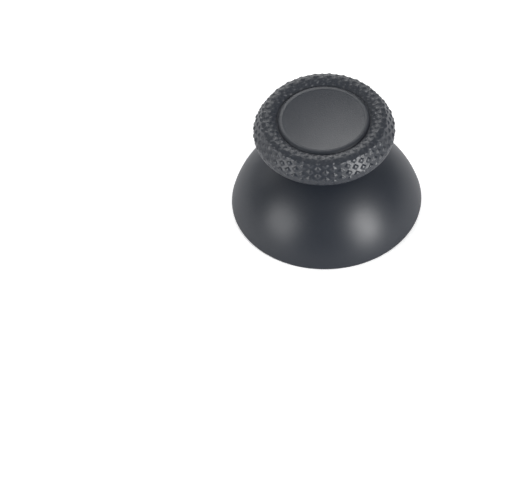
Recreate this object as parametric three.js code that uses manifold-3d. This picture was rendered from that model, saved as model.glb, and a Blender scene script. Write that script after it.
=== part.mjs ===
// Thumbstick cap of a game controller, moulded in one piece: a round cap with a knurled rim and
// a shallow thumb dish, a short neck, and a hollow dome with a keyed socket under it.
// Millimetres, +Z up. The origin is the centre of the base plane that the dome's edge stands on.

import * as THREE from 'three';
import { mergeVertices } from 'three/addons/utils/BufferGeometryUtils.js';
import Module from 'manifold-3d';

const wasm = await Module();
wasm.setup();

// Dome
const baseDiameter = 25.7; // over the dome's rounded edge
const domeCentreDrop = 3.35; // centre of the dome's sphere, below the base plane
const domeWall = 1.2;
const baseEdgeRound = 0.2;

// Neck
const neckDiameter = 9.4;
const neckHeight = 3.1; // from the dome's surface to the cap's underside, at the neck
const neckFillet = 1.2; // at both ends of the neck

// Rim of the cap: a smooth band round its lower edge, a knurled side that leans in up to the
// crest, and a knurled slope from the crest down to the groove round the lip
const capDiameter = 19; // at the widest point
const bandRadius = 1.15; // of the section below the widest point, down to the underside
const sideRadius = 2.9; // of the knurled side's section, over the tooth tips
const crestAngle = THREE.MathUtils.degToRad(80); // around the section, 0 is the widest point
const innerSlopeWidth = 0.9; // from the crest in to the groove

// Knurl: four-sided teeth in columns up the side and over the crest. Each column stands half a
// tooth higher or lower than its neighbours, so the number of columns is even.
const toothColumns = 54;
const knurlLowerAngle = THREE.MathUtils.degToRad(-6.6);
const sideRowSteps = 9; // half teeth from the knurl's lower edge up to the crest
const slopeRowSteps = 3; // half teeth from the crest down to the groove
const toothHeight = 0.12;

// Thumb dish and the lip round it
const grooveWidth = 0.26;
const grooveDepth = 0.32; // below the lip
const lipWidth = 0.6;
const lipBelowCrest = 0.16;
const lipStep = 0.12; // from the dish's edge up to the lip
const lipDraft = 0.07;
const dishDepth = 0.6;

// Boss and socket under the dome, for the shaft of a standard stick
const shaftDiameter = 4;
const shaftAcrossFlats = 3;
const shaftClearance = 0.05; // over the whole width
const socketDepth = 6.3;
const socketLeadIn = 0.35;
const bossDiameter = 6.6; // at its end
const bossDraft = 0.2; // gained in radius from its end to the dome
const bossRecess = 2.5; // from the base plane up to the boss's end

// Gusset ribs between the boss and the dome
const ribCount = 4;
const ribThickness = 0.9;
const ribSetback = 1.8; // from the boss's end up to the rib
const ribRise = 1.4; // of the rib's lower edge, from the boss to the dome

// Facets and joining
const roundFacets = 64;
const bossFacets = 40;
const weld = 0.05; // how far shapes that are joined run into each other
const overcut = 1; // how far cutting shapes stand out of the surface that they cut

// Sizes that follow
const edgeCentreRadius = baseDiameter / 2 - baseEdgeRound;
const domeRadius = Math.hypot(edgeCentreRadius, domeCentreDrop + baseEdgeRound) + baseEdgeRound;
const hollowRadius = domeRadius - domeWall;
const neckRadius = neckDiameter / 2;
const capUnderside = domeHeightAt(neckRadius) + neckHeight;
const widestHeight = capUnderside + bandRadius;
const crestHeight = sectionPoint(crestAngle, 0).y;
const toothRowSteps = sideRowSteps + slopeRowSteps;
const lipHeight = crestHeight - lipBelowCrest;
const grooveFloor = lipHeight - grooveDepth;
const bossRadius = bossDiameter / 2;
const ribFoot = bossRecess + ribSetback;

function domeHeightAt(radius) {
  return Math.sqrt(domeRadius ** 2 - radius ** 2) - domeCentreDrop;
}

function point(radius, height) {
  return new THREE.Vector2(radius, height);
}

// Points on a circle in the plane of a profile, both ends included
function arc(centreRadius, centreHeight, radius, startAngle, endAngle, steps) {
  const clockwise = endAngle < startAngle;
  const curve = new THREE.EllipseCurve(
    centreRadius, centreHeight, radius, radius, startAngle, endAngle, clockwise);
  return curve.getPoints(steps);
}

// Turns a closed geometry into a solid, leaving out the triangles that shrink to a line on the axis
function solid(geometry) {
  const shape = geometry.clone();
  shape.deleteAttribute('normal');
  shape.deleteAttribute('uv');
  const merged = mergeVertices(shape);
  const corners = merged.index.array;
  const triangles = [];
  for (let i = 0; i < corners.length; i += 3) {
    const [a, b, c] = corners.slice(i, i + 3);
    if (a !== b && b !== c && c !== a) triangles.push(a, b, c);
  }
  return new wasm.Manifold(new wasm.Mesh({
    numProp: 3,
    vertProperties: new Float32Array(merged.attributes.position.array),
    triVerts: new Uint32Array(triangles),
  }));
}

// Revolves a profile, listed from the bottom of the axis outwards and up, about +Z
function revolve(profile, facets) {
  return new THREE.LatheGeometry(profile, facets).rotateX(Math.PI / 2);
}

// A point of the rim's section, at a depth below the tooth tips
function sectionPoint(angle, depth) {
  const arcRadius = angle > 0 ? sideRadius : bandRadius;
  const radius = arcRadius - depth;
  return point(
    capDiameter / 2 - arcRadius + radius * Math.cos(angle),
    widestHeight + radius * Math.sin(angle));
}

// A point of the knurled surface at a row of half teeth, at a depth below the tooth tips
function knurlPoint(row, depth) {
  if (row <= sideRowSteps) {
    return sectionPoint(THREE.MathUtils.lerp(knurlLowerAngle, crestAngle, row / sideRowSteps), depth);
  }
  const share = (row - sideRowSteps) / slopeRowSteps;
  return point(
    sectionPoint(crestAngle, 0).x - innerSlopeWidth * share,
    THREE.MathUtils.lerp(crestHeight, grooveFloor, share) - depth);
}

// One row of the knurl at its valleys. The first and last rows run out into the smooth surface.
function knurlRow(row) {
  const runsOut = row === 0 || row === toothRowSteps;
  return knurlPoint(row, runsOut ? 0 : toothHeight);
}

// The cap's profile: its underside, the rim, the groove, the lip and the dish
function capProfile() {
  const under = [point(0, capUnderside)];
  under.push(...arc(capDiameter / 2 - bandRadius, widestHeight, bandRadius,
    -Math.PI / 2, knurlLowerAngle, 6).slice(0, -1));
  const knurl = Array.from({ length: toothRowSteps + 1 }, (_, row) => knurlRow(row));
  const lipOuter = knurl[toothRowSteps].x - grooveWidth;
  const dishRadius = lipOuter - lipWidth;
  const dishEdge = lipHeight - lipStep;
  const lip = [
    point(lipOuter, grooveFloor),
    point(lipOuter - lipDraft, lipHeight),
    point(dishRadius + lipDraft, lipHeight),
  ];
  const dishSphere = (dishRadius ** 2 + dishDepth ** 2) / (2 * dishDepth);
  const dishHalfAngle = Math.asin(dishRadius / dishSphere);
  const dishCentre = dishEdge - dishDepth + dishSphere;
  const dish = arc(0, dishCentre, dishSphere, dishHalfAngle - Math.PI / 2, -Math.PI / 2, 5);
  return { points: [...under, ...knurl, ...lip, ...dish], firstKnurlRow: under.length };
}

// Lifts the tooth tips out of a lathed cap that has two facets to each column of teeth, and lays
// each cell's diagonal from valley to valley, so that four flat faces meet at each tip
function raiseTeeth(cap, rowLength, firstKnurlRow) {
  const position = cap.attributes.position;
  const index = cap.index.array;
  for (let column = 0; column <= toothColumns; column += 1) {
    const turn = 2 * Math.PI * column / toothColumns;
    for (let row = 1; row < toothRowSteps; row += 1) {
      if ((column + row) % 2 === 1) continue;
      const tip = knurlPoint(row, 0);
      position.setXYZ(2 * column * rowLength + firstKnurlRow + row,
        tip.x * Math.sin(turn), -tip.x * Math.cos(turn), tip.y);
    }
  }
  const trianglesPerFacet = 2 * (rowLength - 1);
  for (let facet = 0; facet < 2 * toothColumns; facet += 1) {
    const column = Math.floor(facet / 2);
    for (let row = 0; row < toothRowSteps; row += 1) {
      if ((column + row) % 2 === 0) continue;
      const a = facet * rowLength + firstKnurlRow + row;
      const b = a + rowLength;
      const cell = 3 * (facet * trianglesPerFacet + 2 * (firstKnurlRow + row));
      index.set([a, b, b + 1, a, b + 1, a + 1], cell);
    }
  }
}

function knurledCap() {
  const { points, firstKnurlRow } = capProfile();
  const cap = revolve(points, 2 * toothColumns);
  raiseTeeth(cap, points.length, firstKnurlRow);
  return solid(cap);
}

// The dome's outside and the neck, filleted into each other and into the cap's underside
function domeAndNeck() {
  const fillet = Math.min(neckFillet, neckHeight / 2);
  const filletRadius = neckRadius + fillet;
  const lowerFilletHeight = Math.sqrt((domeRadius + fillet) ** 2 - filletRadius ** 2) - domeCentreDrop;
  const domeTopAngle = Math.acos(filletRadius / (domeRadius + fillet));
  const baseAngle = Math.atan2(domeCentreDrop + baseEdgeRound, edgeCentreRadius);
  const profile = [
    point(0, 0),
    ...arc(edgeCentreRadius, baseEdgeRound, baseEdgeRound, -Math.PI / 2, baseAngle, 4),
    ...arc(0, -domeCentreDrop, domeRadius, baseAngle, domeTopAngle, 12).slice(1),
    ...arc(filletRadius, lowerFilletHeight, fillet, domeTopAngle + Math.PI, Math.PI, 4).slice(1),
    ...arc(filletRadius, capUnderside + weld - fillet, fillet, Math.PI, Math.PI / 2, 4),
    point(filletRadius, capUnderside + 2 * weld),
    point(0, capUnderside + 2 * weld),
  ];
  return solid(revolve(profile, roundFacets));
}

// The space under the dome, round the boss and below its end
function hollow() {
  const bossRoot = bossRadius + bossDraft;
  const edgeAngle = Math.asin(domeCentreDrop / hollowRadius);
  const rootAngle = Math.acos(bossRoot / hollowRadius);
  const profile = [
    point(0, -overcut),
    point(hollowRadius * Math.cos(edgeAngle), -overcut),
    ...arc(0, -domeCentreDrop, hollowRadius, edgeAngle, rootAngle, 10),
    point(bossRadius, bossRecess),
    point(0, bossRecess),
  ];
  return solid(revolve(profile, roundFacets));
}

// One gusset: a flat plate from inside the boss into the dome, its lower edge rising outwards
function rib(turn) {
  const outline = new THREE.Shape([
    point(bossRadius / 2, ribFoot),
    point(hollowRadius, ribFoot + ribRise),
    point(hollowRadius, domeRadius),
    point(bossRadius / 2, domeRadius),
  ]);
  const plate = new THREE.ExtrudeGeometry(outline, { depth: ribThickness, bevelEnabled: false });
  return solid(plate.translate(0, 0, -ribThickness / 2).rotateX(Math.PI / 2).rotateZ(turn));
}

// The blind socket: a round hole with two flats, and a cone that leads the shaft in
function socket() {
  const radius = (shaftDiameter + shaftClearance) / 2;
  const halfFlats = (shaftAcrossFlats + shaftClearance) / 2;
  const flatAngle = Math.asin(halfFlats / radius);
  const section = new THREE.Shape();
  section.absarc(0, 0, radius, -flatAngle, flatAngle);
  section.absarc(0, 0, radius, Math.PI - flatAngle, Math.PI + flatAngle);
  const hole = new THREE.ExtrudeGeometry(section,
    { depth: socketDepth + overcut, bevelEnabled: false, curveSegments: 6 });
  hole.translate(0, 0, bossRecess - overcut);
  const cone = revolve([
    point(0, bossRecess - overcut),
    point(radius + socketLeadIn + overcut, bossRecess - overcut),
    point(halfFlats, bossRecess + radius + socketLeadIn - halfFlats),
    point(0, bossRecess + radius + socketLeadIn - halfFlats),
  ], bossFacets);
  return solid(hole).add(solid(cone));
}

function thumbstickCap() {
  let space = hollow();
  for (let i = 0; i < ribCount; i += 1) {
    space = space.subtract(rib((i + 0.5) * 2 * Math.PI / ribCount));
  }
  return domeAndNeck().add(knurledCap()).subtract(space).subtract(socket());
}

function meshOf(body, name, material) {
  const { vertProperties, triVerts, numProp } = body.getMesh();
  const geometry = new THREE.BufferGeometry();
  geometry.setAttribute('position', new THREE.BufferAttribute(vertProperties, numProp));
  geometry.setIndex(new THREE.BufferAttribute(triVerts, 1));
  geometry.computeVertexNormals();
  const mesh = new THREE.Mesh(geometry, material);
  mesh.name = name;
  return mesh;
}

const charcoalPlastic = new THREE.MeshStandardMaterial({ color: 0x3a3e44, roughness: 0.55, metalness: 0 });

const group = new THREE.Group();
group.add(meshOf(thumbstickCap(), 'thumbstick_cap', charcoalPlastic));

export default group;
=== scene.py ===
import bisect
import math

import bpy
from bpy.props import FloatProperty, FloatVectorProperty, IntProperty, PointerProperty
from mathutils import Matrix, Vector


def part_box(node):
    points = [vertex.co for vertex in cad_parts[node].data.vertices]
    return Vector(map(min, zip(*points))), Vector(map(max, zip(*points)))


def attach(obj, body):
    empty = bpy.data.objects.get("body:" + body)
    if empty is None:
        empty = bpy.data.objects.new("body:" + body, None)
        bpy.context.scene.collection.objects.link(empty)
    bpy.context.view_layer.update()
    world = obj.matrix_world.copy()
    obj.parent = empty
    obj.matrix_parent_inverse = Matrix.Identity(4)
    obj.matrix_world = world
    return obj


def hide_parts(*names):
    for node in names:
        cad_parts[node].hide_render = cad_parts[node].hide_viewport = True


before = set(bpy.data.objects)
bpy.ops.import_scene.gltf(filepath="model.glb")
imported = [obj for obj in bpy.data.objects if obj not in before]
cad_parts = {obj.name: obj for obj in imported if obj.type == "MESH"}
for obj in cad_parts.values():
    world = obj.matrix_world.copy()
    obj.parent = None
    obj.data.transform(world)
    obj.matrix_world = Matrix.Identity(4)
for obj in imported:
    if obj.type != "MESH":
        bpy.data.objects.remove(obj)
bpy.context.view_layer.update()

# Looks of a thumbstick cap, moulded in one piece: a round cap with a knurled rim and a shallow
# thumb dish, a short neck, and a hollow dome with a keyed socket. Metres, +Z up.

bl_info = {
    "name": "Thumbstick cap",
    "version": (1, 0, 0),
    "blender": (4, 5, 0),
    "location": "View3D > Sidebar > Thumbstick",
    "description": "Builds a moulded thumbstick cap with a knurled rim, and a plain studio round it",
    "category": "Add Mesh",
}

MM = 0.001
CAP_NODE = "thumbstick_cap"
cap_low, cap_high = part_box(CAP_NODE)

# Material numbers of the three finishes.
CAP_FINISH, DOME_FINISH, KNURL_FINISH = 0, 1, 2

# Mesh steps along the curved stretches of the profile, and the angle from which an edge is sharp.
CORNER_STEPS = 4
RIM_CORNER_STEPS = 10
DISH_STEPS = 14
NECK_FILLET_STEPS = 10
DOME_STEPS = 44
BASE_EDGE_STEPS = 7
INNER_EDGE_STEPS = 3
HOLLOW_STEPS = 22
BOSS_ROOT_STEPS = 6
RIB_STEPS = 12
SHARP_ANGLE = math.radians(40)

# The noise in the plastic: fine for the grain itself, and in broad patches for its gloss.
FINE_DETAIL = 2.0
PATCH_DETAIL = 1.0
PATCH_SIZE = 2.5 * MM

# The photograph's size in pixels, and the camera's sensor in Blender's own millimetres.
PHOTO_WIDTH, PHOTO_HEIGHT = 506, 499
SENSOR_WIDTH = 36.0

# The camera's near and far limits, as shares of its distance.
NEAR_LIMIT, FAR_LIMIT = 0.01, 20


def length(name, description, default):
    """A length in metres, as a property of a size group."""
    return FloatProperty(name=name, description=description, default=default, min=0.0,
                         unit="LENGTH")


def turn_angle(name, description, degrees):
    """An angle given in degrees, as a property."""
    return FloatProperty(name=name, description=description, default=math.radians(degrees),
                         subtype="ANGLE")


def factor(name, description, default, top=1.0):
    """A plain number from zero to top, as a property."""
    return FloatProperty(name=name, description=description, default=default, min=0.0, max=top)


def brightness(name, place, default):
    """The brightness of a lamp panel, as a property."""
    return factor(name, f"Brightness of the panel {place}, 1 is white", default, top=50.0)


def colour(name, description, default):
    """A linear colour, as a property."""
    return FloatVectorProperty(name=name, description=description, default=default, size=3,
                               min=0.0, max=1.0, subtype="COLOR")


def whole_number(name, description, default, least=1):
    """A whole number, as a property."""
    return IntProperty(name=name, description=description, default=default, min=least)


class ThumbstickBodySizes(bpy.types.PropertyGroup):
    """Sizes of the dome and the neck, and the whole cap's height and width."""
    base_diameter: length("Base diameter", "Over the dome's rounded edge", cap_high[0] - cap_low[0])
    overall_height: length("Overall height", "From the base plane to the rim's crest",
                           cap_high[2] - cap_low[2])
    centre_drop: length("Dome centre drop", "Centre of the dome's sphere, below the base plane",
                        2.9 * MM)
    dome_wall: length("Dome wall", "Thickness of the dome", 1.2 * MM)
    edge_round: length("Base edge round", "Radius of the dome's lower edge, outside", 0.2 * MM)
    inner_edge_round: length("Inner edge round", "Radius of the dome's lower edge, inside", 0.12 * MM)
    neck_diameter: length("Neck diameter", "Of the neck between dome and cap", 9.4 * MM)
    neck_fillet: length("Neck fillet", "Radius at both ends of the neck", 1.2 * MM)
    cap_diameter: length("Cap diameter", "At the rim's widest point", 19.12 * MM)


class ThumbstickRimSizes(bpy.types.PropertyGroup):
    """Sizes of the rim's section: lower edge, leaning side, shoulder, crest and inner slope."""
    rim_height: length("Rim height", "From the underside to the crest", 4.0 * MM)
    lower_round: length("Lower round", "Between the underside and the side", 1.5 * MM)
    upright: length("Upright", "From the underside to the corner where the side leans in",
                    1.75 * MM)
    lean: turn_angle("Lean", "Of the side, inwards from upright", 29)
    side_round: length("Side round", "Where the side starts to lean", 0.9 * MM)
    shoulder_radius: length("Shoulder radius", "Out to the shoulder's corner", 8.47 * MM)
    shoulder_round: length("Shoulder round", "Of the shoulder's corner", 0.25 * MM)
    crest_outer: length("Crest, outer edge", "Radius of the crest's outer edge", 7.80 * MM)
    crest_round: length("Crest round", "Of the crest's outer edge", 0.3 * MM)
    crest_middle: length("Crest middle", "Radius of the row of diamonds on the crest", 7.24 * MM)
    slope_foot: turn_angle("Slope foot", "Steepness of the inner slope where it leaves the groove", 54)
    slope_round: length("Slope round", "Where the inner slope flattens out into the crest", 1.59 * MM)
    slope_end: length("Slope end", "Radius where the inner slope meets the groove", 6.3 * MM)


class ThumbstickKnurlSizes(bpy.types.PropertyGroup):
    """Sizes of the staggered flat-topped diamonds round the rim. A row is half a diamond high."""
    diamond_columns: whole_number("Diamond columns", "Round the rim, an even number", 54, 8)
    side_rows: whole_number("Side rows", "Rows from the knurl's lower edge up to the crest", 9, 3)
    slope_rows: whole_number("Slope rows", "Rows from the crest down to the groove", 3)
    row_pitch: length("Row pitch", "Between two rows below the crest", 0.487 * MM)
    cells: whole_number("Cells", "Mesh cells in half a diamond", 6, 2)
    height: length("Diamond height", "From the gaps to the flat tops, on the side", 0.125 * MM)
    flat_top: factor("Flat top", "Share of a diamond's half width that is flat", 0.36)
    shoulder_row: whole_number("Shoulder row", "Last row of diamonds at full height", 5)
    fade_rows: whole_number("Fade rows", "Rows over which the height falls to the crest's", 2)
    crest_share: factor("Height at the crest", "As a share of the side's height", 0.7)
    matte_row: factor("Matte row", "Row above which the knurl is as matte as the dish", 6.5, top=50.0)


class ThumbstickDishSizes(bpy.types.PropertyGroup):
    """Sizes of the thumb dish, its lip and the groove round it."""
    groove_width: length("Groove width", "Between the knurl and the lip", 0.05 * MM)
    groove_depth: length("Groove depth", "Below the lip", 0.30 * MM)
    lip_width: length("Lip width", "Of the raised ring round the dish", 0.80 * MM)
    lip_below_crest: length("Lip below crest", "From the rim's crest down to the lip", 0.36 * MM)
    lip_step: length("Lip step", "From the dish's edge up to the lip", 0.03 * MM)
    lip_draft: length("Lip draft", "Lean of the lip's inner side", 0.10 * MM)
    lip_slant: turn_angle("Lip slant", "Steepness of the lip's outer side at the groove", 60)
    lip_round: length("Lip round", "Of the lip's outer side", 0.5 * MM)
    dish_depth: length("Dish depth", "Of the thumb dish below its edge", 0.47 * MM)


class ThumbstickSocketSizes(bpy.types.PropertyGroup):
    """Sizes of the boss, the keyed socket and the ribs under the dome."""
    socket_diameter: length("Socket diameter", "Across the socket's round sides", 4.05 * MM)
    socket_flats: length("Across flats", "Between the socket's two flats", 3.05 * MM)
    socket_depth: length("Socket depth", "From the boss's end to the socket's floor", 6.3 * MM)
    lead_in: length("Lead-in", "Chamfer at the socket's mouth", 0.35 * MM)
    boss_diameter: length("Boss diameter", "At the boss's end", 6.6 * MM)
    boss_draft: length("Boss draft", "Gained in radius from the boss's end to the dome", 0.2 * MM)
    boss_recess: length("Boss recess", "From the base plane up to the boss's end", 2.5 * MM)
    boss_round: length("Boss round", "Radius of the boss's end", 0.15 * MM)
    root_fillet: length("Root fillet", "Radius between boss and dome", 0.4 * MM)
    rib_count: whole_number("Ribs", "Gusset ribs round the boss", 4)
    rib_thickness: length("Rib thickness", "Of each gusset rib", 0.9 * MM)
    rib_setback: length("Rib setback", "From the boss's end up to a rib", 1.8 * MM)
    rib_rise: length("Rib rise", "Of a rib's lower edge, from boss to dome", 1.4 * MM)


class ThumbstickFinish(bpy.types.PropertyGroup):
    """Colour, gloss and grain of the moulded plastic."""
    plastic_colour: colour("Plastic", "Charcoal plastic", (0.0145, 0.0182, 0.0258))
    dome_roughness: factor("Dome roughness", "Of the satin dome and neck", 0.40)
    cap_roughness: factor("Cap roughness", "Of the matte dish, lip and crest", 0.48)
    knurl_roughness: factor("Knurl roughness", "Of the knurled side", 0.35)
    plain_specular: factor("Plain specular", "Strength of the dome's and the dish's reflections", 0.5)
    knurl_specular: factor("Knurl specular", "Strength of the knurled side's reflections", 0.62)
    tone_change: factor("Tone change", "Of the colour, from grain to grain", 0.06)
    gloss_change: factor("Gloss change", "Of the roughness, in broad patches", 0.05)
    cap_grain_size: length("Cap grain size", "Width of the matte grain", 0.15 * MM)
    cap_grain_depth: length("Cap grain depth", "Height of the matte grain", 0.026 * MM)
    dome_grain_size: length("Dome grain size", "Width of the satin grain", 0.09 * MM)
    dome_grain_depth: length("Dome grain depth", "Height of the satin grain", 0.003 * MM)


class ThumbstickStage(bpy.types.PropertyGroup):
    """The plain studio and the camera that match the photograph."""
    view_elevation: turn_angle("View elevation", "Of the camera above the horizon", 47.1)
    view_roll: turn_angle("View roll", "Lean of the camera about its own axis", -2.05)
    view_distance: length("View distance", "From the camera to the cap", 800 * MM)
    target_height: length("Target height", "Of the point that the camera turns about", 8 * MM)
    pixels_per_mm: FloatProperty(name="Pixels per mm", description="Scale of the photograph at the cap",
                                 default=7.43, min=0.1)
    centre_x: FloatProperty(name="Centre X", description="Pixel column of the cap's middle",
                            default=325.17)
    centre_y: FloatProperty(name="Centre Y", description="Pixel row of the cap's middle",
                            default=159.2)
    floor_width: length("Floor width", "Of the square floor", 1.0)
    floor_colour: colour("Floor", "Pale floor as the cap sees it", (0.85, 0.85, 0.86))
    floor_glow: factor("Floor glow", "Added to the floor's brightness as the cap sees it", 0.12)
    floor_lift: factor("Floor lift", "Added to the floor's brightness for the camera only", 0.30)
    world_strength: factor("World", "Strength of the even light all round", 0.20, top=10.0)
    back_level: brightness("Back panel", "behind", 4.65)
    back_low_level: brightness("Low back panel", "behind, low down", 2.6)
    back_fill_level: brightness("Back fill", "behind on the right", 0.7)
    left_fill_level: brightness("Left fill", "behind on the left", 1.1)
    left_level: brightness("Left softbox", "in front on the left", 6.0)
    right_level: brightness("Right softbox", "in front on the right", 13.6)
    overhead_level: brightness("Overhead panel", "overhead", 1.2)


def on_circle(centre, radius, angle):
    """The point at an angle on a circle in the plane of a profile."""
    return centre[0] + radius * math.cos(angle), centre[1] + radius * math.sin(angle)


def arc(centre, radius, start, end, steps):
    """Points on a circle from a start angle to an end angle, both ends included."""
    return [on_circle(centre, radius, start + (end - start) * i / steps) for i in range(steps + 1)]


def rounded(corners, steps=CORNER_STEPS):
    """Points of an open profile whose corners, given as (radius, height, round), are filleted."""
    points = [corners[0][:2]]
    for before, corner, after in zip(corners, corners[1:], corners[2:]):
        here = Vector(corner[:2])
        back = (Vector(before[:2]) - here).normalized()
        ahead = (Vector(after[:2]) - here).normalized()
        half = back.angle(ahead) / 2
        reach = corner[2] / math.tan(half)
        centre = here + (back + ahead).normalized() * (corner[2] / math.sin(half))
        first = here + back * reach - centre
        last = here + ahead * reach - centre
        swing = first.angle_signed(last)
        for i in range(steps + 1):
            angle = -swing * i / steps
            cos, sin = math.cos(angle), math.sin(angle)
            points.append((centre.x + first.x * cos - first.y * sin,
                           centre.y + first.x * sin + first.y * cos))
    points.append(corners[-1][:2])
    return points


class CapForm:
    """Places on the cap that follow from its sizes."""

    def __init__(self, scene):
        body, rim, knurl = scene.thumbstick_body, scene.thumbstick_rim, scene.thumbstick_knurl
        dish, self.socket = scene.thumbstick_dish, scene.thumbstick_socket
        self.body, self.rim, self.knurl, self.dish = body, rim, knurl, dish
        self.edge_radius = body.base_diameter / 2 - body.edge_round
        edge_height = body.centre_drop + body.edge_round
        self.dome_radius = math.hypot(self.edge_radius, edge_height) + body.edge_round
        self.hollow_radius = self.dome_radius - body.dome_wall
        self.dome_centre = (0.0, -body.centre_drop)
        self.underside = body.overall_height - rim.rim_height
        self.lip_height = body.overall_height - dish.lip_below_crest
        self.groove_floor = self.lip_height - dish.groove_depth
        self.socket_floor = self.socket.boss_recess + self.socket.socket_depth
        self.rim_path = self.rim_section()
        self.rim_lengths = [0.0]
        for before, after in zip(self.rim_path, self.rim_path[1:]):
            self.rim_lengths.append(self.rim_lengths[-1] + math.dist(before, after))
        self.crest_length = self.length_to_crest()
        self.knurl_start = self.crest_length - knurl.side_rows * knurl.row_pitch

    def rim_section(self):
        """The rim's section over the diamonds' tops, from the neck out and up to the groove."""
        body, rim = self.body, self.rim
        outer = body.cap_diameter / 2
        lean_height = self.underside + rim.upright
        shoulder_height = lean_height + (outer - rim.shoulder_radius) / math.tan(rim.lean)
        slope_rise = body.overall_height - self.groove_floor
        crest_inner = rim.slope_end + slope_rise / math.tan(rim.slope_foot)
        return rounded([
            (body.neck_diameter / 2 + body.neck_fillet, self.underside, 0.0),
            (outer, self.underside, rim.lower_round),
            (outer, lean_height, rim.side_round),
            (rim.shoulder_radius, shoulder_height, rim.shoulder_round),
            (rim.crest_outer, body.overall_height, rim.crest_round),
            (crest_inner, body.overall_height, rim.slope_round),
            (rim.slope_end, self.groove_floor, 0.0),
        ], RIM_CORNER_STEPS)

    def length_to_crest(self):
        """Length along the section up to the row of diamonds on the crest."""
        i = len(self.rim_path) - 1
        while self.rim_path[i - 1][0] < self.rim.crest_middle:
            i -= 1
        outer, inner = self.rim_path[i - 1][0], self.rim_path[i][0]
        share = (outer - self.rim.crest_middle) / (outer - inner)
        return self.rim_lengths[i - 1] + (self.rim_lengths[i] - self.rim_lengths[i - 1]) * share

    def on_rim(self, done):
        """The point of the rim's section at a length along it."""
        last = len(self.rim_path) - 1
        i = min(max(bisect.bisect_right(self.rim_lengths, done), 1), last)
        start, end = self.rim_lengths[i - 1], self.rim_lengths[i]
        share = (done - start) / (end - start)
        return Vector(self.rim_path[i - 1]).lerp(Vector(self.rim_path[i]), share)

    def knurl_row(self, row):
        """The point of the section at a row, and the direction inwards from it."""
        knurl = self.knurl
        if row <= knurl.side_rows:
            done = self.knurl_start + row * knurl.row_pitch
        else:
            share = (row - knurl.side_rows) / knurl.slope_rows
            done = self.crest_length + (self.rim_lengths[-1] - self.crest_length) * share
        nearby = knurl.row_pitch / 10
        tangent = self.on_rim(done + nearby) - self.on_rim(done - nearby)
        return self.on_rim(done), Vector((-tangent[1], tangent[0])).normalized()

    def dish_and_lip(self):
        """Profile from the dish's centre out to the knurl's inner edge, without the centre itself."""
        dish = self.dish
        lip_outer = self.rim.slope_end - dish.groove_width
        dish_radius = lip_outer - dish.lip_width
        dish_edge = self.lip_height - dish.lip_step
        sphere = (dish_radius ** 2 + dish.dish_depth ** 2) / (2 * dish.dish_depth)
        half_angle = math.asin(dish_radius / sphere)
        centre = (0.0, dish_edge - dish.dish_depth + sphere)
        down = -math.pi / 2
        bowl = arc(centre, sphere, down, down + half_angle, DISH_STEPS)[1:]
        slant_width = dish.groove_depth / math.tan(dish.lip_slant)
        corners = [
            (*bowl[-2], 0.0),
            (*bowl[-1], dish.lip_draft / 2),
            (dish_radius + dish.lip_draft, self.lip_height, dish.lip_draft / 2),
            (lip_outer - slant_width, self.lip_height, dish.lip_round),
            (lip_outer, self.groove_floor, dish.groove_width / 2),
            (self.rim.slope_end, self.groove_floor, 0.0),
        ]
        return bowl[:-2] + rounded(corners)[:-1]

    def rim_underside(self):
        """Profile from the knurl's lower edge round the rim's smooth lower edge to the neck."""
        stations = zip(self.rim_path, self.rim_lengths)
        smooth = [place for place, done in stations if done < self.knurl_start]
        return smooth[:0:-1]

    def neck_and_dome(self):
        """Profile from the neck's upper fillet down the dome to the base plane."""
        body = self.body
        fillet = body.neck_fillet
        fillet_radius = body.neck_diameter / 2 + fillet
        reach = self.dome_radius + fillet
        lower_centre_height = math.sqrt(reach ** 2 - fillet_radius ** 2) - body.centre_drop
        lower_centre = (fillet_radius, lower_centre_height)
        upper_centre = (fillet_radius, self.underside - fillet)
        top_angle = math.acos(fillet_radius / reach)
        base_angle = math.atan2(body.centre_drop + body.edge_round, self.edge_radius)
        edge_centre = (self.edge_radius, body.edge_round)
        return [
            *arc(upper_centre, fillet, math.pi / 2, math.pi, NECK_FILLET_STEPS),
            *arc(lower_centre, fillet, math.pi, math.pi + top_angle, NECK_FILLET_STEPS),
            *arc(self.dome_centre, self.dome_radius, top_angle, base_angle, DOME_STEPS)[1:],
            *arc(edge_centre, body.edge_round, base_angle, -math.pi / 2, BASE_EDGE_STEPS)[1:],
        ]

    def hollow_and_boss(self):
        """Profile from the dome's inner edge over the hollow's ceiling down the boss to its end."""
        body, socket = self.body, self.socket
        edge_angle = math.asin((body.centre_drop + body.inner_edge_round) / self.hollow_radius)
        inner_edge = math.sqrt(self.hollow_radius ** 2 - body.centre_drop ** 2)
        boss_radius = socket.boss_diameter / 2
        root_radius = boss_radius + socket.boss_draft
        root_centre_radius = root_radius + socket.root_fillet
        reach = self.hollow_radius - socket.root_fillet
        root_angle = math.acos(root_centre_radius / reach)
        root_centre = (root_centre_radius, reach * math.sin(root_angle) - body.centre_drop)
        mouth_radius = socket.socket_diameter / 2 + socket.lead_in
        edge = rounded([
            (inner_edge + body.dome_wall / 2, 0.0, 0.0),
            (inner_edge, 0.0, body.inner_edge_round),
            (*on_circle(self.dome_centre, self.hollow_radius, edge_angle), 0.0),
        ], INNER_EDGE_STEPS)
        end = rounded([
            (root_radius, root_centre[1], 0.0),
            (boss_radius, socket.boss_recess, socket.boss_round),
            (mouth_radius, socket.boss_recess, 0.0),
        ])
        return [
            *edge[1:-1],
            *arc(self.dome_centre, self.hollow_radius, edge_angle, root_angle, HOLLOW_STEPS)[1:],
            *arc(root_centre, socket.root_fillet, root_angle, math.pi, BOSS_ROOT_STEPS)[1:],
            *end[1:],
        ]

    def socket_radius(self, turn):
        """Radius of the socket's wall at a turn about the axis: round, with two flats."""
        flat = abs(math.cos(turn))
        half_flats = self.socket.socket_flats / 2
        radius = self.socket.socket_diameter / 2
        return min(radius, half_flats / flat) if flat > 0.0 else radius

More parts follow.
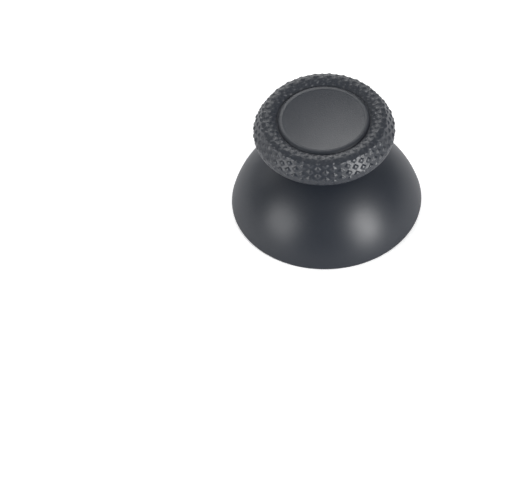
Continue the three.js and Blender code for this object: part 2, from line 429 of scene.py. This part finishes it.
    def nearest_diamond(self, place, row):
        """Offsets from the nearest diamond's centre. Places count half columns, rows half diamonds."""
        offsets = []
        for column in (math.floor(place / 2), math.floor(place / 2) + 1):
            odd = column % 2
            nearest_row = odd + 2 * round((row - odd) / 2)
            offsets.append((place - 2 * column, row - nearest_row))
        return min(offsets, key=lambda offset: abs(offset[0]) + abs(offset[1]))

    def knurl_depth(self, place, row):
        """Depth below the diamonds' tops. The first and last rows run out into the smooth surface."""
        knurl = self.knurl
        out = sum(abs(offset) for offset in self.nearest_diamond(place, row))
        level = min(1.0, max(0.0, (1.0 - out) / (1.0 - knurl.flat_top)))
        to_edge = min(row, knurl.side_rows + knurl.slope_rows - row)
        past_shoulder = min(1.0, max(0.0, (row - knurl.shoulder_row) / knurl.fade_rows))
        height = knurl.height * (1.0 + (knurl.crest_share - 1.0) * past_shoulder)
        return height * (1.0 - level) * min(1.0, to_edge)


class Skin:
    """A closed skin made of rings of points, joined one after another from the dish outwards."""

    def __init__(self):
        self.points = []
        self.faces = []
        self.finishes = []

    def point(self, radius, height, turn=0.0):
        """Adds a point and returns its number. Turn 0 is the front."""
        self.points.append((radius * math.sin(turn), -radius * math.cos(turn), height))
        return len(self.points) - 1

    def ring(self, columns, place):
        """Adds a ring of points. place(turn) gives each one's radius and height."""
        turns = [2 * math.pi * i / columns for i in range(columns)]
        return [self.point(*place(turn), turn) for turn in turns]

    def face(self, finish, *corners):
        """Adds one face."""
        self.faces.append(corners)
        self.finishes.append(finish)

    def join(self, inner, outer, finish):
        """Joins two rings, of which one may have twice as many points as the other."""
        if len(inner) == len(outer):
            for i in range(len(inner)):
                self.face(finish, inner[i - 1], outer[i - 1], outer[i], inner[i])
        elif len(inner) < len(outer):
            for i in range(len(inner)):
                middle = outer[2 * i - 1]
                self.face(finish, inner[i - 1], outer[2 * i - 2], middle)
                self.face(finish, inner[i - 1], middle, inner[i])
                self.face(finish, inner[i], middle, outer[2 * i])
        else:
            for i in range(len(outer)):
                middle = inner[2 * i - 1]
                self.face(finish, inner[2 * i - 2], outer[i - 1], middle)
                self.face(finish, middle, outer[i - 1], outer[i])
                self.face(finish, middle, outer[i], inner[2 * i])

    def sweep(self, previous, profile, columns, finish):
        """Joins on a round ring for each point of a profile, and returns the last ring."""
        for place in profile:
            ring = self.ring(columns, lambda turn: place)
            self.join(previous, ring, finish)
            previous = ring
        return previous

    def close(self, ring, centre, finish, outwards):
        """Closes a ring with a fan to a centre point."""
        for i in range(len(ring)):
            if outwards:
                self.face(finish, centre, ring[i - 1], ring[i])
            else:
                self.face(finish, ring[i - 1], centre, ring[i])

    def mesh(self, name, materials):
        """The skin as a Blender mesh, shaded smooth."""
        mesh = bpy.data.meshes.new(name)
        mesh.from_pydata(self.points, [], self.faces)
        for material in materials:
            mesh.materials.append(material)
        mesh.polygons.foreach_set("material_index", self.finishes)
        mesh.shade_smooth()
        mesh.update()
        return mesh


def add_knurl(skin, form, previous):
    """Adds the knurl's rings from the groove to its lower edge, and returns the last ring."""
    knurl = form.knurl
    columns = 2 * knurl.diamond_columns * knurl.cells
    rows = (knurl.side_rows + knurl.slope_rows) * knurl.cells
    for step in range(rows + 1):
        row = (rows - step) / knurl.cells
        top, inwards = form.knurl_row(row)
        ring = []
        for i in range(columns):
            place = top + inwards * form.knurl_depth(i / knurl.cells, row)
            ring.append(skin.point(*place, 2 * math.pi * i / columns))
        finish = CAP_FINISH if row > knurl.matte_row else KNURL_FINISH
        if step == 0:
            skin.join(previous, ring, finish)
        else:
            for i in range(columns):
                # Each cell is split along the edges of the diamond that it lies on.
                across, along = form.nearest_diamond((i - 0.5) / knurl.cells, row + 0.5 / knurl.cells)
                upper_left, upper_right = previous[i - 1], previous[i]
                lower_left, lower_right = ring[i - 1], ring[i]
                if across * along > 0:
                    skin.face(finish, upper_left, lower_left, lower_right)
                    skin.face(finish, upper_left, lower_right, upper_right)
                else:
                    skin.face(finish, upper_left, lower_left, upper_right)
                    skin.face(finish, lower_left, lower_right, upper_right)
        previous = ring
    return previous


def cap_skin(form):
    """The whole moulding without its ribs, as one closed skin."""
    skin = Skin()
    columns = form.knurl.diamond_columns * form.knurl.cells
    socket = form.socket
    dish_floor = form.lip_height - form.dish.lip_step - form.dish.dish_depth
    centre = skin.point(0.0, dish_floor)
    innermost, *dish_and_lip = form.dish_and_lip()
    previous = skin.ring(columns, lambda turn: innermost)
    skin.close(previous, centre, CAP_FINISH, outwards=True)
    previous = skin.sweep(previous, dish_and_lip, columns, CAP_FINISH)
    previous = add_knurl(skin, form, previous)
    for profile in (form.rim_underside(), form.neck_and_dome(), form.hollow_and_boss()):
        previous = skin.sweep(previous, profile, columns, DOME_FINISH)
    wall = form.socket_radius
    mouth = socket.boss_recess + socket.socket_diameter / 2 + socket.lead_in
    chamfer = skin.ring(columns, lambda turn: (wall(turn), mouth - wall(turn)))
    skin.join(previous, chamfer, DOME_FINISH)
    floor = skin.ring(columns, lambda turn: (wall(turn), form.socket_floor))
    skin.join(chamfer, floor, DOME_FINISH)
    skin.close(floor, skin.point(0.0, form.socket_floor), DOME_FINISH, outwards=False)
    return skin


def rib_mesh(form, turn, materials):
    """One gusset: a flat plate from inside the boss into the dome's wall."""
    socket, body = form.socket, form.body
    sunk = body.dome_wall / 4
    inner = socket.boss_diameter / 2 - sunk
    outer = form.hollow_radius
    foot = socket.boss_recess + socket.rib_setback
    lower_edge = []
    upper_edge = []
    for i in range(RIB_STEPS + 1):
        radius = inner + (outer - inner) * i / RIB_STEPS
        lower = foot + socket.rib_rise * i / RIB_STEPS
        upper = math.sqrt(max(0.0, (outer + sunk) ** 2 - radius ** 2)) - body.centre_drop
        if upper <= lower:
            break
        lower_edge.append((radius, lower))
        upper_edge.append((radius, upper))
    outline = lower_edge + upper_edge[::-1]
    half = socket.rib_thickness / 2
    turned = Matrix.Rotation(turn, 4, "Z")
    points = []
    for side in (-half, half):
        points += [turned @ Vector((radius, side, height)) for radius, height in outline]
    corners = len(outline)
    faces = [tuple(range(corners)), tuple(reversed(range(corners, 2 * corners)))]
    for i in range(corners):
        following = (i + 1) % corners
        faces.append((following, i, corners + i, corners + following))
    mesh = bpy.data.meshes.new("gusset")
    mesh.from_pydata(points, [], faces)
    for material in materials:
        mesh.materials.append(material)
    mesh.polygons.foreach_set("material_index", [DOME_FINISH] * len(faces))
    return mesh


def in_scene(name, data):
    """A new object in the scene's own collection."""
    item = bpy.data.objects.new(name, data)
    bpy.context.scene.collection.objects.link(item)
    return item


def join_ribs(piece, form, materials):
    """Joins the ribs to the moulding, so that it stays one closed skin."""
    for i in range(form.socket.rib_count):
        turn = (i + 0.5) * 2 * math.pi / form.socket.rib_count
        rib = in_scene("gusset", rib_mesh(form, turn, materials))
        union = piece.modifiers.new("rib", "BOOLEAN")
        union.operation = "UNION"
        union.solver = "MANIFOLD"
        union.object = rib
        evaluated = piece.evaluated_get(bpy.context.evaluated_depsgraph_get())
        joined = bpy.data.meshes.new_from_object(evaluated)
        piece.modifiers.clear()
        piece.data = joined
        bpy.data.objects.remove(rib)


def grain_group():
    """Shader group: the fine grain of moulded plastic, as a height, a tone and a change of gloss."""
    group = bpy.data.node_groups.new("moulded_grain", "ShaderNodeTree")
    nodes, links = group.nodes, group.links
    for name in ("Grain Size", "Tone Change", "Gloss Change"):
        group.interface.new_socket(name=name, in_out="INPUT", socket_type="NodeSocketFloat")
    for name in ("Height", "Tone", "Gloss"):
        group.interface.new_socket(name=name, in_out="OUTPUT", socket_type="NodeSocketFloat")
    given = nodes.new("NodeGroupInput")
    result = nodes.new("NodeGroupOutput")
    place = nodes.new("ShaderNodeTexCoord")

    def feed(socket, value):
        if isinstance(value, bpy.types.NodeSocket):
            links.new(value, socket)
        else:
            socket.default_value = value

    def math_node(operation, first, second):
        node = nodes.new("ShaderNodeMath")
        node.operation = operation
        feed(node.inputs[0], first)
        feed(node.inputs[1], second)
        return node.outputs["Value"]

    def noise(scale, detail):
        node = nodes.new("ShaderNodeTexNoise")
        feed(node.inputs["Vector"], place.outputs["Object"])
        feed(node.inputs["Scale"], scale)
        feed(node.inputs["Detail"], detail)
        return node.outputs["Fac"]

    grain = noise(math_node("DIVIDE", 1.0, given.outputs["Grain Size"]), FINE_DETAIL)
    patches = noise(1 / PATCH_SIZE, PATCH_DETAIL)
    signed_grain = math_node("SUBTRACT", grain, 0.5)
    signed_patches = math_node("SUBTRACT", patches, 0.5)
    tone = math_node("ADD", 1.0, math_node("MULTIPLY", signed_grain, given.outputs["Tone Change"]))
    gloss = math_node("MULTIPLY", signed_patches, given.outputs["Gloss Change"])
    feed(result.inputs["Height"], grain)
    feed(result.inputs["Tone"], tone)
    feed(result.inputs["Gloss"], gloss)
    return group


def plastic(name, grain, finish, roughness, specular, grain_size, grain_depth):
    """Charcoal moulded plastic with its own gloss and grain."""
    material = bpy.data.materials.new(name)
    material.use_nodes = True
    nodes, links = material.node_tree.nodes, material.node_tree.links
    shader = nodes["Principled BSDF"]
    shader.inputs["Specular IOR Level"].default_value = specular
    texture = nodes.new("ShaderNodeGroup")
    texture.node_tree = grain
    texture.inputs["Grain Size"].default_value = grain_size
    texture.inputs["Tone Change"].default_value = finish.tone_change
    texture.inputs["Gloss Change"].default_value = finish.gloss_change
    tinted = nodes.new("ShaderNodeVectorMath")
    tinted.operation = "SCALE"
    tinted.inputs[0].default_value = finish.plastic_colour
    links.new(texture.outputs["Tone"], tinted.inputs["Scale"])
    links.new(tinted.outputs["Vector"], shader.inputs["Base Color"])
    gloss = nodes.new("ShaderNodeMath")
    gloss.operation = "ADD"
    gloss.inputs[0].default_value = roughness
    links.new(texture.outputs["Gloss"], gloss.inputs[1])
    links.new(gloss.outputs["Value"], shader.inputs["Roughness"])
    bump = nodes.new("ShaderNodeBump")
    bump.inputs["Distance"].default_value = grain_depth
    links.new(texture.outputs["Height"], bump.inputs["Height"])
    links.new(bump.outputs["Normal"], shader.inputs["Normal"])
    return material


class THUMBSTICK_OT_moulding(bpy.types.Operator):
    """Builds the one-piece moulded cap with its knurl, dish, dome, boss, socket and ribs"""
    bl_idname = "thumbstick.moulding"
    bl_label = "Build moulded cap"

    def execute(self, context):
        form = CapForm(context.scene)
        finish = context.scene.thumbstick_finish
        grain = grain_group()
        materials = (
            plastic("cap_matte_plastic", grain, finish, finish.cap_roughness, finish.plain_specular,
                    finish.cap_grain_size, finish.cap_grain_depth),
            plastic("dome_satin_plastic", grain, finish, finish.dome_roughness, finish.plain_specular,
                    finish.dome_grain_size, finish.dome_grain_depth),
            plastic("knurl_plastic", grain, finish, finish.knurl_roughness, finish.knurl_specular,
                    finish.dome_grain_size, finish.dome_grain_depth),
        )
        piece = in_scene("cap_moulding", cap_skin(form).mesh("cap_moulding", materials))
        join_ribs(piece, form, materials)
        piece.data.set_sharp_from_angle(angle=SHARP_ANGLE)
        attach(piece, "root")
        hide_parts(CAP_NODE)
        return {"FINISHED"}


def camera_ray_mix(tree, data_type, otherwise, to_camera):
    """An output with one value for the camera's own rays and another for all other rays."""
    path = tree.nodes.new("ShaderNodeLightPath")
    mix = tree.nodes.new("ShaderNodeMix")
    mix.data_type = data_type
    mix.inputs["A"].default_value = otherwise
    mix.inputs["B"].default_value = to_camera
    tree.links.new(path.outputs["Is Camera Ray"], mix.inputs["Factor"])
    return mix.outputs["Result"]


def grey(level):
    """A neutral colour."""
    return level, level, level, 1.0


def floor_material(stage):
    """Pale floor: white to the camera, a little greyer to the cap, and clear from below."""
    material = bpy.data.materials.new("pale_floor")
    material.use_nodes = True
    tree = material.node_tree
    shader = tree.nodes["Principled BSDF"]
    shader.inputs["Roughness"].default_value = 1.0
    shader.inputs["Specular IOR Level"].default_value = 0.0
    shader.inputs["Emission Strength"].default_value = 1.0
    colour_seen = camera_ray_mix(tree, "RGBA", (*stage.floor_colour, 1.0), grey(1.0))
    glow_seen = camera_ray_mix(tree, "RGBA", grey(stage.floor_glow), grey(stage.floor_lift))
    tree.links.new(colour_seen, shader.inputs["Base Color"])
    tree.links.new(glow_seen, shader.inputs["Emission Color"])
    geometry = tree.nodes.new("ShaderNodeNewGeometry")
    above = tree.nodes.new("ShaderNodeMath")
    above.operation = "SUBTRACT"
    above.inputs[0].default_value = 1.0
    tree.links.new(geometry.outputs["Backfacing"], above.inputs[1])
    tree.links.new(above.outputs["Value"], shader.inputs["Alpha"])
    return material


def add_floor(stage):
    """A wide floor at the base plane."""
    half = stage.floor_width / 2
    corners = [(-half, -half, 0), (half, -half, 0), (half, half, 0), (-half, half, 0)]
    mesh = bpy.data.meshes.new("studio_floor")
    mesh.from_pydata(corners, [], [(0, 1, 2, 3)])
    mesh.materials.append(floor_material(stage))
    floor = in_scene("studio_floor", mesh)


def add_panel(name, level, direction, distance, width, height):
    """A rectangular lamp that faces the cap. Level 1 is as bright as white paper."""
    lamp = bpy.data.lights.new(name, "AREA")
    lamp.shape = "RECTANGLE"
    lamp.size = width
    lamp.size_y = height
    lamp.energy = level * math.pi * width * height
    panel = in_scene(name, lamp)
    towards = Vector(direction).normalized()
    panel.location = towards * distance
    panel.rotation_euler = towards.to_track_quat("Z", "Y").to_euler()
    panel.visible_camera = False


def add_world(strength):
    """Even light all round, white to the camera."""
    world = bpy.data.worlds.new("studio")
    world.use_nodes = True
    tree = world.node_tree
    background = tree.nodes["Background"]
    background.inputs["Color"].default_value = grey(1.0)
    tree.links.new(camera_ray_mix(tree, "FLOAT", strength, 1.0), background.inputs["Strength"])
    bpy.context.scene.world = world


def add_camera(stage):
    """A camera at the photograph's angle, turned a little off the cap, as the photograph is."""
    camera = bpy.data.cameras.new("camera")
    focal_pixels = stage.pixels_per_mm / MM * stage.view_distance
    camera.sensor_width = SENSOR_WIDTH
    camera.lens = focal_pixels * SENSOR_WIDTH / PHOTO_WIDTH
    camera.clip_start = stage.view_distance * NEAR_LIMIT
    camera.clip_end = stage.view_distance * FAR_LIMIT
    item = in_scene("camera", camera)
    back = Vector((0.0, -math.cos(stage.view_elevation), math.sin(stage.view_elevation)))
    right_of_middle = stage.centre_x - PHOTO_WIDTH / 2
    above_middle = PHOTO_HEIGHT / 2 - stage.centre_y
    off_axis = Vector((right_of_middle, above_middle, -focal_pixels))
    aim = off_axis.rotation_difference(Vector((0.0, 0.0, -1.0)))
    level = back.to_track_quat("Z", "Y")
    rolled = level @ Matrix.Rotation(stage.view_roll, 4, "Z").to_quaternion()
    item.rotation_mode = "QUATERNION"
    item.rotation_quaternion = rolled @ aim
    item.location = Vector((0.0, 0.0, stage.target_height)) + back * stage.view_distance
    bpy.context.scene.camera = item


class THUMBSTICK_OT_stage(bpy.types.Operator):
    """Builds the pale floor, the soft lamps, the world and the camera"""
    bl_idname = "thumbstick.stage"
    bl_label = "Build studio and camera"

    def execute(self, context):
        stage = context.scene.thumbstick_stage
        context.scene.view_settings.view_transform = "Standard"
        add_floor(stage)
        add_panel("back_panel", stage.back_level,
                  direction=(-0.14, 0.9, 0.62), distance=0.6, width=0.25, height=0.50)
        add_panel("back_fill", stage.back_fill_level,
                  direction=(0.50, 0.78, 0.50), distance=0.6, width=0.30, height=0.35)
        add_panel("back_low", stage.back_low_level,
                  direction=(0.0, 1.0, 0.12), distance=0.6, width=0.50, height=0.12)
        add_panel("left_fill", stage.left_fill_level,
                  direction=(-0.80, 0.50, 0.45), distance=0.6, width=0.26, height=0.32)
        add_panel("left_softbox", stage.left_level,
                  direction=(-0.81, -0.47, 0.345), distance=0.5, width=0.28, height=0.26)
        add_panel("right_softbox", stage.right_level,
                  direction=(0.70, -0.62, 0.33), distance=0.5, width=0.20, height=0.29)
        add_panel("overhead_panel", stage.overhead_level,
                  direction=(0.0, 0.05, 1.0), distance=0.6, width=0.50, height=0.20)
        add_world(stage.world_strength)
        add_camera(stage)
        return {"FINISHED"}


class THUMBSTICK_PT_panel(bpy.types.Panel):
    """Lists the cap's sizes, its finish and the two builders"""
    bl_idname = "THUMBSTICK_PT_panel"
    bl_label = "Thumbstick cap"
    bl_space_type = "VIEW_3D"
    bl_region_type = "UI"
    bl_category = "Thumbstick"

    def draw(self, context):
        for group_name in GROUPS:
            group = getattr(context.scene, group_name)
            box = self.layout.box()
            box.label(text=group_name.replace("_", " ").capitalize())
            for name in group.__annotations__:
                box.prop(group, name)
        for operator in OPERATORS:
            self.layout.operator(operator.bl_idname)


GROUPS = {
    "thumbstick_body": ThumbstickBodySizes,
    "thumbstick_rim": ThumbstickRimSizes,
    "thumbstick_knurl": ThumbstickKnurlSizes,
    "thumbstick_dish": ThumbstickDishSizes,
    "thumbstick_socket": ThumbstickSocketSizes,
    "thumbstick_finish": ThumbstickFinish,
    "thumbstick_stage": ThumbstickStage,
}
OPERATORS = (THUMBSTICK_OT_moulding, THUMBSTICK_OT_stage)


def register():
    for item in (*GROUPS.values(), *OPERATORS, THUMBSTICK_PT_panel):
        bpy.utils.register_class(item)
    for name, group in GROUPS.items():
        setattr(bpy.types.Scene, name, PointerProperty(type=group))


def unregister():
    for name in GROUPS:
        delattr(bpy.types.Scene, name)
    for item in (THUMBSTICK_PT_panel, *OPERATORS, *GROUPS.values()):
        bpy.utils.unregister_class(item)


def main():
    register()
    bpy.ops.thumbstick.moulding()
    bpy.ops.thumbstick.stage()


if __name__ == "__main__":
    main()
